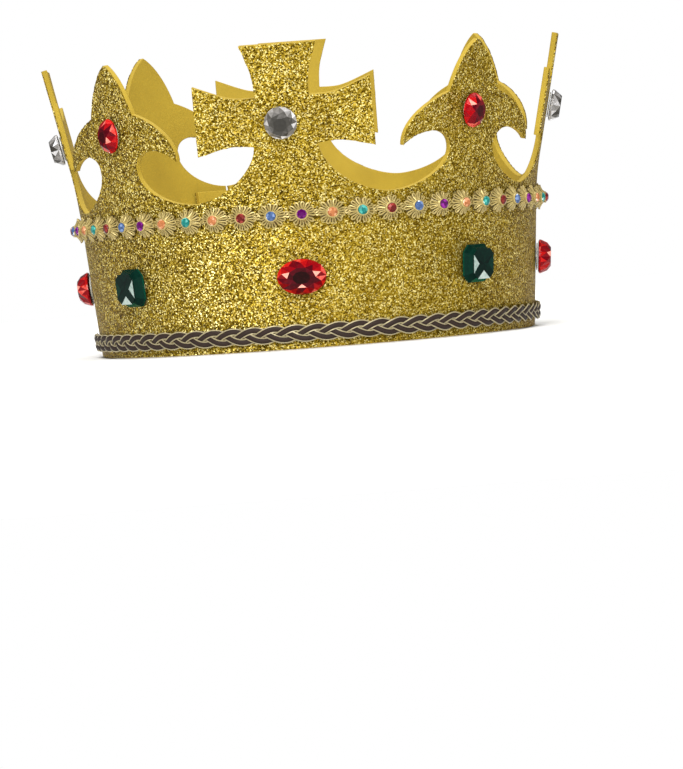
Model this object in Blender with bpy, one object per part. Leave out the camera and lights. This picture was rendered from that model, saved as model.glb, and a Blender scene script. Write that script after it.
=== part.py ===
# A child's dressing-up crown: one strip of foam sheet with a glitter face, cut into four crosses and
# four fleurs-de-lis, closed into an oval ring with a glued lap at the back, and trimmed with a flower
# ribbon, a plaited braid and sixteen glued stones.
# Metres, +Z up, front towards -Y. The origin is on the table under the middle of the ring.

from math import cos, hypot, pi, radians, sin

import bmesh
import bpy
from mathutils import Matrix, Vector
from mathutils.geometry import delaunay_2d_cdt

# The ring
HALF_WIDTH = 0.0825          # outer face of the foam at the rim, middle to side
HALF_DEPTH = 0.0949          # and middle to front
RING_MIDDLE = (0.0001, 0.0042)    # the points lean unevenly, and the origin is under the whole crown
FLARE = radians(4.8)         # how far the band leans outwards
BEND_FROM = 0.050            # height up the sheet where the points start to lean on their own
BEND_TO = 0.066
POINTS = 8
# Going round from the front cross towards +X: each point's place in eighths of the rim, and how far it
# leans out. The lap draws the back cross towards the fleur beyond it.
PLACES = (0, 1, 2, 3, 4.115, 5, 6, 7)
LEANS = [radians(a) for a in (15.0, 9.5, 13.0, 4.0, 1.0, 5.0, 12.0, 4.5)]
BACK_RISE = 0.008            # the strip is cut this much taller at the back
# Above the valleys the foam's own stiffness draws each point towards a flat plane.
FLATNESS = (0.85, 0.40)      # of a cross, of a fleur-de-lis
FLAT_BY = 0.072              # height up the sheet where that is reached
TWISTS = [radians(a) for a in (0.0, 0.0, 0.0, 0.0, 0.0, 0.0, 6.0, 0.0)]

# The sheet
FOAM = 0.0017
GAP = 0.0003                 # left between pieces that are glued face to face
FILM = 0.0003                # the glitter face
GLUE = 0.0003
LAP = 0.015
LAP_GAP = 0.0005             # either side of the glue in the lap, where the flat facets sag
TUCK = FOAM + GLUE + 2 * LAP_GAP + GAP + FILM
TUCK_RUN = 0.018             # length over which the inner end ramps in under the outer one
TUCK_TOP = (0.052, 0.066)    # the points above the lap stay where they are
LAP_TOP = 0.0535
SQUARE_RIM = 0.006           # the cut rim is square to the table below this height

# The outline, as (distance from a point's own centre line, height up the sheet)
VALLEY = 0.0552
VALLEY_POWER = 1.75          # 2 would make the valleys elliptic
CROSS_STEM = (0.0117, 0.0746)
CROSS_ARM_LOW = (0.0324, 0.0723)
CROSS_ARM_HIGH = (0.0324, 0.0982)
CROSS_NECK = (0.0098, 0.0927)
CROSS_TOP = (0.0139, 0.1120)
ARM_UNDER = (0.0200, 0.0756)       # the arms' hollow edges bend towards these
ARM_OVER = (0.0185, 0.0924)
ARM_TOP_SIDE = (0.0101, 0.1010)
FLEUR_STEM = (0.0119, 0.0690)
FLEUR_LOBE_TIP = (0.0346, 0.0712)
FLEUR_NOTCH = (0.0136, 0.0900)
FLEUR_TIP = (0.0, 0.1091)
LOBE_UNDER = ((0.0120, 0.0785), (0.0278, 0.0775))
LOBE_OVER = ((0.0357, 0.0790), (0.0262, 0.0865))
LEAF_SIDE = ((0.0115, 0.0965), (0.0072, 0.1050))

# Mesh density
COLUMNS = 56
LONGEST_EDGE = 0.0095
BAND_ROWS = (0.026, 0.050, 0.0556)
POINT_ROWS = (0.061, 0.069, 0.0785, 0.0865, 0.0955, 0.1035)
EDGE_MARGIN = 0.0022

# The trims
ROSETTES = 54
FIRST_ROSETTE = -23          # the rosette nearest the lap, counted from the one at the front
ROSETTE_PITCH = 1 / 55.5     # of the rim's length
FRONT_ROSETTE = 0.006        # of the rim's length, past the front cross's centre line
TRIM_HEIGHT = 0.0492
ROSETTE_RADIUS = 0.0047
NECK_HALF_HEIGHT = 0.0017
TRIM_THICKNESS = 0.0010
TRIM_STONE_RISE = 0.0046
BRAID_FOOT = 0.0025
BRAID_HEIGHT = 0.0066
BRAID_THICKNESS = 0.0019
BRAID_CORNER = 0.0016
BRAID_STATIONS = 80
TRIM_END = 0.0012

# The stones
PAD = 0.0004                 # glue behind the middle of a stone, apart from the gaps
PAD_SHARE = 0.80
# How far off each point's centre line the stones are glued: the upper one along and up, the lower along.
STONE_SHIFTS = ((-0.0011, 0.0, 0.0018), (-0.0024, 0.0, 0.0005), (0.0, 0.0015, 0.0), (0.0, 0.0, -0.0006),
                (0.0006, 0.0, 0.0005), (0.0, -0.0008, 0.0), (0.0, -0.0018, 0.0006), (0.0003, 0.0, 0.0016))
PAD_SIDES = 12
BAND_STONE_HEIGHT = 0.0264
CROSS_STONE_HEIGHT = 0.0834
FLEUR_STONE_HEIGHT = 0.0830
GIRDLE = 0.0007
BACK_SHARE = 0.90
CLEAR_SIZE = (0.0120, 0.0120, 0.0040, 16, 0.58)
RUBY_SIZE = (0.0102, 0.0128, 0.0040, 16, 0.58)
RED_OVAL_SIZE = (0.0180, 0.0130, 0.0048, 20, 0.58)
GREEN_SIZE = (0.0140, 0.0140, 0.0045, 8, 0.60)
GREEN_CORNER = 0.24

FACE = GAP + FILM            # outer face of the glitter, out from the foam
TRIM_BACK = FACE + GAP
OVAL_STEPS = 720


def arc_lengths():
    """Length along the rim at each of OVAL_STEPS angles, from the front round towards +X."""
    total = 0.0
    lengths = [0.0]
    before = (0.0, -HALF_DEPTH)
    for i in range(1, OVAL_STEPS + 1):
        angle = 2 * pi * i / OVAL_STEPS
        now = (HALF_WIDTH * sin(angle), -HALF_DEPTH * cos(angle))
        total += hypot(now[0] - before[0], now[1] - before[1])
        lengths.append(total)
        before = now
    return lengths


ARC = arc_lengths()
RIM = ARC[-1]
SEAM = RIM / POINTS * (PLACES[4] + PLACES[5]) / 2      # the valley beyond the back cross
START = SEAM - RIM


def rim_angle(x):
    """The oval's angle at the length x along the rim."""
    x %= RIM
    low, high = 0, OVAL_STEPS
    while high - low > 1:
        middle = (low + high) // 2
        if ARC[middle] > x:
            high = middle
        else:
            low = middle
    part = (x - ARC[low]) / (ARC[low + 1] - ARC[low])
    return 2 * pi * (low + part) / OVAL_STEPS


def smooth(t):
    t = min(1.0, max(0.0, t))
    return t * t * (3 - 2 * t)


def lean_at(x):
    """The lean above the band, eased from one point's to the next."""
    place = (x / RIM * POINTS) % POINTS
    left = max(k for k in range(POINTS) if PLACES[k] <= place)
    after = PLACES[left + 1] if left + 1 < POINTS else POINTS
    share = smooth((place - PLACES[left]) / (after - PLACES[left]))
    return LEANS[left] * (1 - share) + LEANS[(left + 1) % POINTS] * share


def lifted(x, s):
    """The height up the sheet where the pattern's height s comes: the strip is taller at the back."""
    round_back = 2 * abs((x / RIM + 0.5) % 1.0 - 0.5)
    return s + BACK_RISE * smooth((round_back - 0.5) / 0.3) * min(1.0, s / VALLEY)


def profile(x, s):
    """How far out and up the sheet has come at s, and its slope there."""
    s = lifted(x, s)
    straight = min(s, BEND_FROM)
    out = straight * sin(FLARE)
    up = straight * cos(FLARE)
    if s <= BEND_FROM:
        return out, up, FLARE
    lean = lean_at(x)
    turn = (lean - FLARE) / (BEND_TO - BEND_FROM)
    if abs(turn) < 1e-6:
        turn = 1e-6
    slope = FLARE + turn * (min(s, BEND_TO) - BEND_FROM)
    out += (cos(FLARE) - cos(slope)) / turn
    up += (sin(slope) - sin(FLARE)) / turn
    past = max(0.0, s - BEND_TO)
    return out + past * sin(slope), up + past * cos(slope), slope


def tucked_in(x, s):
    """How far the inner end of the strip lies in under the outer one."""
    run = smooth((x - (SEAM - TUCK_RUN)) / (TUCK_RUN - 0.002))
    fade = 1 - smooth((s - TUCK_TOP[0]) / (TUCK_TOP[1] - TUCK_TOP[0]))
    return TUCK * run * fade


def point_middle(k):
    """Where point k's centre line stands along the strip, from START to SEAM."""
    return RIM * (PLACES[k] - (POINTS if k > POINTS // 2 else 0)) / POINTS


def outwards(angle):
    return Vector((sin(angle) / HALF_WIDTH, -cos(angle) / HALF_DEPTH, 0)).normalized()


def round_ring(x, s, out):
    """The place of (x, s) on the flat strip bent evenly round the ring."""
    angle = rim_angle(x)
    reach, height, slope = profile(x, s)
    tilt = slope * min(1.0, s / SQUARE_RIM)
    across = reach - tucked_in(x, s) + out * cos(tilt)
    rim = Vector((RING_MIDDLE[0] + HALF_WIDTH * sin(angle), RING_MIDDLE[1] - HALF_DEPTH * cos(angle), 0))
    return rim + outwards(angle) * across + Vector((0, 0, height - out * sin(tilt)))


def wrap(x, s, out):
    """The place of (x, s) once the strip is closed, out from the foam's outer face."""
    place = round_ring(x, s, out)
    if s <= VALLEY:
        return place
    k = min(range(POINTS), key=lambda i: abs(point_middle(i) - x))
    middle = point_middle(k)
    distance = (x - middle) * (1 + curvature(middle) * profile(middle, s)[0])
    normal = Matrix.Rotation(TWISTS[k], 3, "Z") @ outwards(rim_angle(middle))
    plane = round_ring(middle, s, out) + Vector((-normal.y, normal.x, 0)) * distance
    return place.lerp(plane, FLATNESS[k % 2] * smooth((s - VALLEY) / (FLAT_BY - VALLEY)))


def curvature(x):
    angle = rim_angle(x)
    spread = (HALF_WIDTH * cos(angle)) ** 2 + (HALF_DEPTH * sin(angle)) ** 2
    return HALF_WIDTH * HALF_DEPTH / spread ** 1.5


def along_rim(middle, distance, s):
    """The strip's x at a real distance from a point's centre line: the ring widens as it leans out."""
    reach = profile(middle, s)[0]
    return middle + distance / (1 + curvature(middle) * reach)


def frame_at(x, s, out):
    """Matrix with X along the rim, Y up the sheet and Z straight out of it."""
    step = 0.0005
    place = wrap(x, s, out)
    along = (wrap(x + step, s, out) - wrap(x - step, s, out)).normalized()
    up = wrap(x, s + step, out) - wrap(x, s - step, out)
    normal = along.cross(up).normalized()
    up = normal.cross(along)
    axes = Matrix((along, up, normal)).transposed().to_4x4()
    return Matrix.Translation(place) @ axes


# ---------------------------------------------------------------- outline

def bezier(start, one, two, end, steps, with_start=False):
    """Points after start, or from it, up to and with end."""
    found = [start] if with_start else []
    for i in range(1, steps + 1):
        t = i / steps
        weights = ((1 - t) ** 3, 3 * t * (1 - t) ** 2, 3 * t * t * (1 - t), t ** 3)
        found.append(tuple(sum(w * p[k] for w, p in zip(weights, (start, one, two, end)))
                           for k in (0, 1)))
    return found


def cross_half():
    """From the stem's foot up to the top, on the +x side."""
    half = [CROSS_STEM]
    half += bezier(CROSS_STEM, ARM_UNDER, ARM_UNDER, CROSS_ARM_LOW, 3)
    half += bezier(CROSS_ARM_HIGH, ARM_OVER, ARM_OVER, CROSS_NECK, 3, with_start=True)
    return half + bezier(CROSS_NECK, ARM_TOP_SIDE, ARM_TOP_SIDE, CROSS_TOP, 3)


def fleur_half():
    half = [FLEUR_STEM]
    half += bezier(FLEUR_STEM, *LOBE_UNDER, FLEUR_LOBE_TIP, 5)
    half += bezier(FLEUR_LOBE_TIP, *LOBE_OVER, FLEUR_NOTCH, 5)
    half += bezier(FLEUR_NOTCH, *LEAF_SIDE, FLEUR_TIP, 5)
    return half


def valley_side(stem, bottom, steps=6):
    """A hollow curve from a stem's foot down to the valley, with both ends."""
    found = []
    for i in range(steps + 1):
        turn = pi / 2 * i / steps
        x = bottom[0] + (stem[0] - bottom[0]) * cos(turn) ** (2 / VALLEY_POWER)
        s = stem[1] + (bottom[1] - stem[1]) * sin(turn) ** (2 / VALLEY_POWER)
        found.append((x, s))
    return found


def point_outline(k, before, after):
    """The outline of point k from the valley before it to the valley after it."""
    middle = point_middle(k)
    half = fleur_half() if k % 2 else cross_half()
    right = [(along_rim(middle, d, s), s) for d, s in half]
    left = [(along_rim(middle, -d, s), s) for d, s in half]
    if k % 2:
        right.pop()
    rise = valley_side(left[0], (before, VALLEY))[::-1]
    fall = valley_side(right[0], (after, VALLEY))
    return rise[:-1] + left + right[::-1][:-1] + fall[:-1]


def divided(loop):
    """The closed loop with points added along its long edges."""
    found = []
    for here, after in zip(loop, loop[1:] + loop[:1]):
        length = hypot(after[0] - here[0], after[1] - here[1])
        pieces = max(1, round(length / LONGEST_EDGE))
        for i in range(pieces):
            t = i / pieces
            found.append((here[0] + (after[0] - here[0]) * t, here[1] + (after[1] - here[1]) * t))
    return found


def strip_outline():
    """The flat strip's outline, anticlockwise from the bottom of its outer end."""
    order = [(POINTS // 2 + 1 + i) % POINTS for i in range(POINTS)]
    middles = [point_middle(k) for k in order]
    valleys = [START] + [(a + b) / 2 for a, b in zip(middles, middles[1:])] + [SEAM]
    top = []
    for k, before, after in zip(order, valleys, valleys[1:]):
        top += point_outline(k, before, after)
    loop = [(START, 0.0), (SEAM + LAP, 0.0), (SEAM + LAP, LAP_TOP), (SEAM, LAP_TOP), (SEAM, VALLEY)]
    return divided(loop + top[:0:-1] + [(START, VALLEY)])


def clearance(point, loop):
    """Distance to the loop, negative outside it."""
    x, y = point
    nearest = 1.0
    inside = False
    for a, b in zip(loop, loop[1:] + loop[:1]):
        edge = (b[0] - a[0], b[1] - a[1])
        length = edge[0] ** 2 + edge[1] ** 2
        t = max(0.0, min(1.0, ((x - a[0]) * edge[0] + (y - a[1]) * edge[1]) / length))
        nearest = min(nearest, hypot(a[0] + edge[0] * t - x, a[1] + edge[1] * t - y))
        if (a[1] > y) != (b[1] > y) and x < a[0] + (y - a[1]) * edge[0] / edge[1]:
            inside = not inside
    return nearest if inside else -nearest


def flat_triangles():
    """The strip's outline filled with triangles, fine enough to bend round the ring."""
    loop = strip_outline()
    inner = []
    column = RIM / COLUMNS
    for i in range(COLUMNS + 3):
        for j, s in enumerate(BAND_ROWS + POINT_ROWS):
            x = START + column * (i + 0.5 * (j % 2))
            if clearance((x, s), loop) > EDGE_MARGIN:
                inner.append((x, s))
    points = [Vector(p) for p in loop + inner]
    edge_loop = list(range(len(loop)))
    places, _, faces = delaunay_2d_cdt(points, [], [edge_loop], 1, 1e-7)[:3]
    return places, faces


# ---------------------------------------------------------------- meshes

def material(name, colour, rough, metal=0.0, clear=0.0):
    made = bpy.data.materials.get(name)
    if made:
        return made
    made = bpy.data.materials.new(name)
    made.use_nodes = True
    shader = made.node_tree.nodes["Principled BSDF"]
    shader.inputs["Base Color"].default_value = (*colour, 1)
    shader.inputs["Roughness"].default_value = rough
    shader.inputs["Metallic"].default_value = metal
    shader.inputs["Transmission Weight"].default_value = clear
    made.diffuse_color = (*colour, 1)
    return made


def finished(name, mesh_data, skin, round_off=35):
    """Turns a bmesh into the object called name."""
    bmesh.ops.recalc_face_normals(mesh_data, faces=mesh_data.faces)
    mesh = bpy.data.meshes.new(name)
    mesh_data.to_mesh(mesh)
    mesh_data.free()
    mesh.materials.append(skin)
    mesh.shade_smooth()
    mesh.set_sharp_from_angle(angle=radians(round_off))
    piece = bpy.data.objects.new(name, mesh)
    bpy.context.scene.collection.objects.link(piece)
    return piece


def sheet(name, flat, inner, outer, skin):
    """The strip as a solid between two distances out from the foam's outer face."""
    places, faces = flat
    mesh_data = bmesh.new()
    back = [mesh_data.verts.new(wrap(p.x, p.y, inner)) for p in places]
    front = [mesh_data.verts.new(wrap(p.x, p.y, outer)) for p in places]
    border = {}
    for face in faces:
        mesh_data.faces.new([front[i] for i in face])
        mesh_data.faces.new([back[i] for i in reversed(face)])
        for a, b in zip(face, face[1:] + face[:1]):
            if (b, a) in border:
                del border[(b, a)]
            else:
                border[(a, b)] = True
    for a, b in border:
        mesh_data.faces.new([front[b], front[a], back[a], back[b]])
    bmesh.ops.triangulate(mesh_data, faces=[f for f in mesh_data.faces if len(f.verts) > 3])
    return finished(name, mesh_data, skin)


def ribbon(name, stations, section, skin):
    """A solid along the strip: section(x) gives its closed outline there, as (s, out)."""
    mesh_data = bmesh.new()
    rings = [[mesh_data.verts.new(wrap(x, s, out)) for s, out in section(x)] for x in stations]
    for one, two in zip(rings, rings[1:]):
        for i in range(len(one)):
            j = (i + 1) % len(one)
            mesh_data.faces.new([one[i], one[j], two[j], two[i]])
    mesh_data.faces.new(rings[0][::-1])
    mesh_data.faces.new(rings[-1])
    bmesh.ops.triangulate(mesh_data, faces=mesh_data.faces)
    return finished(name, mesh_data, skin)


def flower_trim(skin):
    """Rosettes joined by short necks, each with a raised middle."""
    shape = ((0.0, NECK_HALF_HEIGHT, 0.0), (0.17, 0.80 * ROSETTE_RADIUS, 0.2),
             (0.5, ROSETTE_RADIUS, 1.0), (0.83, 0.80 * ROSETTE_RADIUS, 0.2))
    places = []
    for i in range(ROSETTES):
        middle = FRONT_ROSETTE + (FIRST_ROSETTE + i) * ROSETTE_PITCH
        for phase, half, rise in shape:
            places.append((RIM * (middle + (phase - 0.5) * ROSETTE_PITCH), half, rise))
    end = RIM * (FRONT_ROSETTE + (FIRST_ROSETTE + ROSETTES - 0.5) * ROSETTE_PITCH)
    places.append((end, NECK_HALF_HEIGHT, 0.0))
    sizes = {x: (half, rise) for x, half, rise in places}
    front = TRIM_BACK + TRIM_THICKNESS

    def section(x):
        half, rise = sizes[x]
        low = TRIM_HEIGHT - half
        high = TRIM_HEIGHT + half
        crest = front + 0.0002 + rise * (TRIM_STONE_RISE - TRIM_THICKNESS)
        return [(low, TRIM_BACK), (low, front), (TRIM_HEIGHT, crest), (high, front), (high, TRIM_BACK)]

    return ribbon("flower_trim", [p[0] for p in places], section, skin)


def braid_trim(skin):
    first = START + TRIM_END
    last = SEAM - TRIM_END - 0.0015
    stations = [first + (last - first) * i / BRAID_STATIONS for i in range(BRAID_STATIONS + 1)]
    top = BRAID_FOOT + BRAID_HEIGHT
    front = TRIM_BACK + BRAID_THICKNESS
    outline = [(BRAID_FOOT, TRIM_BACK), (BRAID_FOOT, front - 0.0007), (BRAID_FOOT + BRAID_CORNER, front),
               (top - BRAID_CORNER, front), (top, front - 0.0007), (top, TRIM_BACK)]
    return ribbon("braid_trim", stations, lambda x: outline, skin)


def lap_glue(skin):
    edge = 0.002
    stations = [START + edge + (LAP - 2 * edge) * i / 3 for i in range(4)]
    front = -FOAM - LAP_GAP
    low, high = 0.004, 0.050
    outline = [(low, front - GLUE), (low, front), (high, front), (high, front - GLUE)]
    return ribbon("lap_glue", stations, lambda x: outline, skin)


def stone_ring(width, length, sides):
    """A stone's girdle: an oval, or an oblong with cut corners when it has eight sides."""
    if sides == 8:
        cut = GREEN_CORNER * width
        corner = [(width / 2, length / 2 - cut), (width / 2 - cut, length / 2)]
        turned = [(-x, y) for x, y in corner[::-1]]
        half = corner + turned
        return half + [(-x, -y) for x, y in half]
    return [(width / 2 * cos(2 * pi * i / sides), length / 2 * sin(2 * pi * i / sides))
            for i in range(sides)]


def stone_mesh(size):
    """A flat-backed stone: back, girdle, sloping crown and a flat table."""
    width, length, height, sides, table = size
    outline = stone_ring(width, length, sides)
    levels = ((0.0, BACK_SHARE), (0.4 * GIRDLE, 1.0), (1.4 * GIRDLE, 1.0),
              (0.72 * height, 0.80), (height, table))
    mesh_data = bmesh.new()
    rings = [[mesh_data.verts.new((x * share, y * share, z)) for x, y in outline]
             for z, share in levels]
    for one, two in zip(rings, rings[1:]):
        for i in range(sides):
            j = (i + 1) % sides
            mesh_data.faces.new([one[i], one[j], two[j], two[i]])
    mesh_data.faces.new(rings[0][::-1])
    mesh_data.faces.new(rings[-1])
    return mesh_data


def stone(name, size, middle, shift, s, skin, glue_skin):
    """A stone glued on at s, shifted along the rim from a point's centre line, and its glue pad."""
    x = along_rim(middle, shift, s)
    seat = frame_at(x, s, TRIM_BACK + PAD + GAP)
    piece = finished(name, stone_mesh(size), skin, round_off=5)
    piece.matrix_world = seat
    pad = bmesh.new()
    inward = -(PAD + GAP)
    back = [pad.verts.new(wrap(x, s, TRIM_BACK))]
    front = [pad.verts.new(seat @ Vector((0, 0, -GAP)))]
    for i in range(PAD_SIDES):
        turn = 2 * pi * i / PAD_SIDES
        across = PAD_SHARE * size[0] / 2 * cos(turn)
        up = PAD_SHARE * size[1] / 2 * sin(turn)
        foot = seat @ Vector((across, up, inward))
        back.append(pad.verts.new(on_face(foot, x, across, s, up)))
        front.append(pad.verts.new(seat @ Vector((across, up, -GAP))))
    for i in range(1, PAD_SIDES + 1):
        j = i % PAD_SIDES + 1
        pad.faces.new([front[0], front[i], front[j]])
        pad.faces.new([back[0], back[j], back[i]])
        pad.faces.new([front[i], back[i], back[j], front[j]])
    bmesh.ops.triangulate(pad, faces=[f for f in pad.faces if len(f.verts) > 3])
    finished(name + "_glue", pad, glue_skin)
    return piece


def on_face(foot, x, across, s, up):
    """The point of the pad's back nearest to foot, just clear of the glitter."""
    spread = 1 + curvature(x) * profile(x, s)[0]
    return wrap(x + across / spread, s + up, TRIM_BACK)


# ---------------------------------------------------------------- the crown

def clear_scene():
    for old in list(bpy.data.objects):
        bpy.data.objects.remove(old)


def build():
    clear_scene()
    foam = material("yellow_foam", (0.78, 0.55, 0.06), 0.85)
    glitter = material("gold_glitter", (0.60, 0.38, 0.06), 0.35, metal=0.8)
    gold_thread = material("gold_thread", (0.80, 0.64, 0.32), 0.55, metal=0.3)
    braid = material("dark_braid", (0.08, 0.05, 0.035), 0.6)
    glue = material("clear_glue", (0.85, 0.85, 0.80), 0.3, clear=0.6)
    clear_stone = material("clear_stone", (0.75, 0.78, 0.80), 0.05, clear=0.5)
    ruby = material("red_stone", (0.55, 0.01, 0.02), 0.05, clear=0.4)
    emerald = material("green_stone", (0.01, 0.16, 0.09), 0.05, clear=0.4)

    flat = flat_triangles()
    sheet("foam_shell", flat, -FOAM, 0.0, foam)
    sheet("glitter_facing", flat, GAP, FACE, glitter)
    lap_glue(glue)
    flower_trim(gold_thread)
    braid_trim(braid)

    cross_stones = (("crystal_", CLEAR_SIZE, clear_stone), ("red_oval_", RED_OVAL_SIZE, ruby))
    fleur_stones = (("ruby_", RUBY_SIZE, ruby), ("emerald_", GREEN_SIZE, emerald))
    sides = ("front", "front_right", "right", "back_right", "back", "back_left", "left", "front_left")
    for k, side in enumerate(sides):
        middle = point_middle(k)
        along, rise, low_along = STONE_SHIFTS[k]
        upper, lower = fleur_stones if k % 2 else cross_stones
        height = (FLEUR_STONE_HEIGHT if k % 2 else CROSS_STONE_HEIGHT) + rise
        stone(upper[0] + side, upper[1], middle, along, height, upper[2], glue)
        stone(lower[0] + side, lower[1], middle, low_along, BAND_STONE_HEIGHT, lower[2], glue)


build()
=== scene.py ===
import random
from math import cos, hypot, pi, radians, sin

import bmesh
import bpy
from mathutils import Matrix, Vector
from mathutils.geometry import delaunay_2d_cdt
from mathutils.kdtree import KDTree


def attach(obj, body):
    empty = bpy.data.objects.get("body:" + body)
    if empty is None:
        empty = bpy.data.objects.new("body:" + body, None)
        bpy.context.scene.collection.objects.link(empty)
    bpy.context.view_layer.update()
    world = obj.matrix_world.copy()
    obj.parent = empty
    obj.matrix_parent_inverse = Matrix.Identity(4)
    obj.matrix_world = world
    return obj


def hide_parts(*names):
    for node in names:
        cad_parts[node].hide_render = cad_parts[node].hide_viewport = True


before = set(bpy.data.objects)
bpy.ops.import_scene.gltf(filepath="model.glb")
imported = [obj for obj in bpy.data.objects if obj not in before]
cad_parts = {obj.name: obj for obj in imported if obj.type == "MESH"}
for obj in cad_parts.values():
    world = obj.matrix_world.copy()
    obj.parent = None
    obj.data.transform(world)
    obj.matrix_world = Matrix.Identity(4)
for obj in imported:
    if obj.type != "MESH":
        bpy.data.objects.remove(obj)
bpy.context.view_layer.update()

# The crown is cut flat: x runs along the rim from the front, s up the sheet, and out away from the
# foam's face. wrapOn() bends a flat place (x, s, out) round the ring.
ring = {
    "halfWidth": 0.0825,  # foam's outer face at the rim
    "halfDepth": 0.0949,
    "middle": (0.0001, 0.0042),
    "flare": radians(4.8),  # lean of the band
    "bendFrom": 0.050,  # above this each point has a lean of its own
    "bendTo": 0.066,
    "places": (0, 1, 2, 3, 4.115, 5, 6, 7),  # each point's place, in eighths of the rim
    "leans": (15.0, 9.5, 13.0, 4.0, 1.0, 5.0, 12.0, 4.5),  # degrees, for each point
    "twists": (0, 0, 0, 0, 0, 0, 6.0, 0),  # degrees, for each point
    "backRise": 0.008,  # the strip is cut taller at the back
    "riseFrom": 0.5,  # share of the way to the back where that begins
    "riseOver": 0.3,
    "flatness": (0.85, 0.40),  # above the valleys a cross, a fleur-de-lis is this much flat
    "flatBy": 0.072,
    "squareRim": 0.006,  # below this the cut rim is square to the floor
    "steps": 720,
}
sheetSizes = {
    "foam": 0.0017,
    "gap": 0.0003,
    "film": 0.0003,
    "glue": 0.0003,
    "lap": 0.015,  # the inner end goes this far under the outer one
    "lapGap": 0.0005,  # either side of the glue in the lap
    "lapTop": 0.0535,
    "tuckRun": 0.018,  # the inner end ramps in over this length
    "tuckLead": 0.002,  # and is fully in this far before the seam
    "tuckTop": (0.052, 0.066),  # the points above the lap stay where they are
}
pointCount = 8
faceOut = sheetSizes["gap"] + sheetSizes["film"]  # outer face of the glitter
trimBack = faceOut + sheetSizes["gap"]  # where the trims and glue pads start


def measureRim():
    lengths = [0.0]
    before = (0.0, -ring["halfDepth"])
    for i in range(1, ring["steps"] + 1):
        angle = 2 * pi * i / ring["steps"]
        now = (ring["halfWidth"] * sin(angle), -ring["halfDepth"] * cos(angle))
        lengths.append(lengths[-1] + hypot(now[0] - before[0], now[1] - before[1]))
        before = now
    return lengths


rimLengths = measureRim()
rimLength = rimLengths[-1]
seam = rimLength / pointCount * (ring["places"][4] + ring["places"][5]) / 2
stripStart = seam - rimLength


def rimAngle(x):
    x %= rimLength
    low, high = 0, ring["steps"]
    while high - low > 1:
        middle = (low + high) // 2
        if rimLengths[middle] > x:
            high = middle
        else:
            low = middle
    part = (x - rimLengths[low]) / (rimLengths[low + 1] - rimLengths[low])
    return 2 * pi * (low + part) / ring["steps"]


def smooth(t):
    t = min(1.0, max(0.0, t))
    return t * t * (3 - 2 * t)


def leanAt(x):
    places, leans = ring["places"], ring["leans"]
    place = (x / rimLength * pointCount) % pointCount
    left = max(k for k in range(pointCount) if places[k] <= place)
    after = places[left + 1] if left + 1 < pointCount else pointCount
    share = smooth((place - places[left]) / (after - places[left]))
    return radians(leans[left] * (1 - share) + leans[(left + 1) % pointCount] * share)


def profileAt(x, s):
    roundBack = 2 * abs((x / rimLength + 0.5) % 1.0 - 0.5)
    nearBack = smooth((roundBack - ring["riseFrom"]) / ring["riseOver"])
    s += ring["backRise"] * nearBack * min(1.0, s / outline["valley"])
    flare, bendFrom, bendTo = ring["flare"], ring["bendFrom"], ring["bendTo"]
    straight = min(s, bendFrom)
    reach, height = straight * sin(flare), straight * cos(flare)
    if s <= bendFrom:
        return reach, height, flare
    turn = (leanAt(x) - flare) / (bendTo - bendFrom)
    if abs(turn) < 1e-6:
        turn = 1e-6
    slope = flare + turn * (min(s, bendTo) - bendFrom)
    past = max(0.0, s - bendTo)
    reach += (cos(flare) - cos(slope)) / turn + past * sin(slope)
    height += (sin(slope) - sin(flare)) / turn + past * cos(slope)
    return reach, height, slope


def tuckAt(x, s):
    sizes = sheetSizes
    depth = sizes["foam"] + sizes["glue"] + 2 * sizes["lapGap"] + sizes["gap"] + sizes["film"]
    run = smooth((x - (seam - sizes["tuckRun"])) / (sizes["tuckRun"] - sizes["tuckLead"]))
    low, high = sizes["tuckTop"]
    return depth * run * (1 - smooth((s - low) / (high - low)))


def roundRing(x, s, out):
    angle = rimAngle(x)
    reach, height, slope = profileAt(x, s)
    tilt = slope * min(1.0, s / ring["squareRim"])
    across = reach - tuckAt(x, s) + out * cos(tilt)
    rim = Vector((ring["middle"][0] + ring["halfWidth"] * sin(angle),
                  ring["middle"][1] - ring["halfDepth"] * cos(angle), 0))
    return rim + outwardsAt(angle) * across + Vector((0, 0, height - out * sin(tilt)))


def pointMiddle(k):
    return rimLength * (ring["places"][k] - (pointCount if k > pointCount // 2 else 0)) / pointCount


def outwardsAt(angle):
    return Vector((sin(angle) / ring["halfWidth"], -cos(angle) / ring["halfDepth"], 0)).normalized()


def wrapOn(x, s, out):
    place = roundRing(x, s, out)
    valley = outline["valley"]
    if s <= valley:
        return place
    k = min(range(pointCount), key=lambda i: abs(pointMiddle(i) - x))
    middle = pointMiddle(k)
    distance = (x - middle) * (1 + curvatureAt(middle) * profileAt(middle, s)[0])
    normal = Matrix.Rotation(radians(ring["twists"][k]), 3, "Z") @ outwardsAt(rimAngle(middle))
    plane = roundRing(middle, s, out) + Vector((-normal.y, normal.x, 0)) * distance
    share = smooth((s - valley) / (ring["flatBy"] - valley))
    return place.lerp(plane, ring["flatness"][k % 2] * share)


def curvatureAt(x):
    angle = rimAngle(x)
    wide, deep = ring["halfWidth"], ring["halfDepth"]
    return wide * deep / ((wide * cos(angle)) ** 2 + (deep * sin(angle)) ** 2) ** 1.5


def alongRim(middle, distance, s):
    return middle + distance / (1 + curvatureAt(middle) * profileAt(middle, s)[0])


def seatAt(x, s, out):
    # X along the rim, Y up the sheet, Z straight out of it
    step = 0.0005
    along = (wrapOn(x + step, s, out) - wrapOn(x - step, s, out)).normalized()
    up = wrapOn(x, s + step, out) - wrapOn(x, s - step, out)
    normal = along.cross(up).normalized()
    up = normal.cross(along)
    return Matrix.Translation(wrapOn(x, s, out)) @ Matrix((along, up, normal)).transposed().to_4x4()


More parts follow.
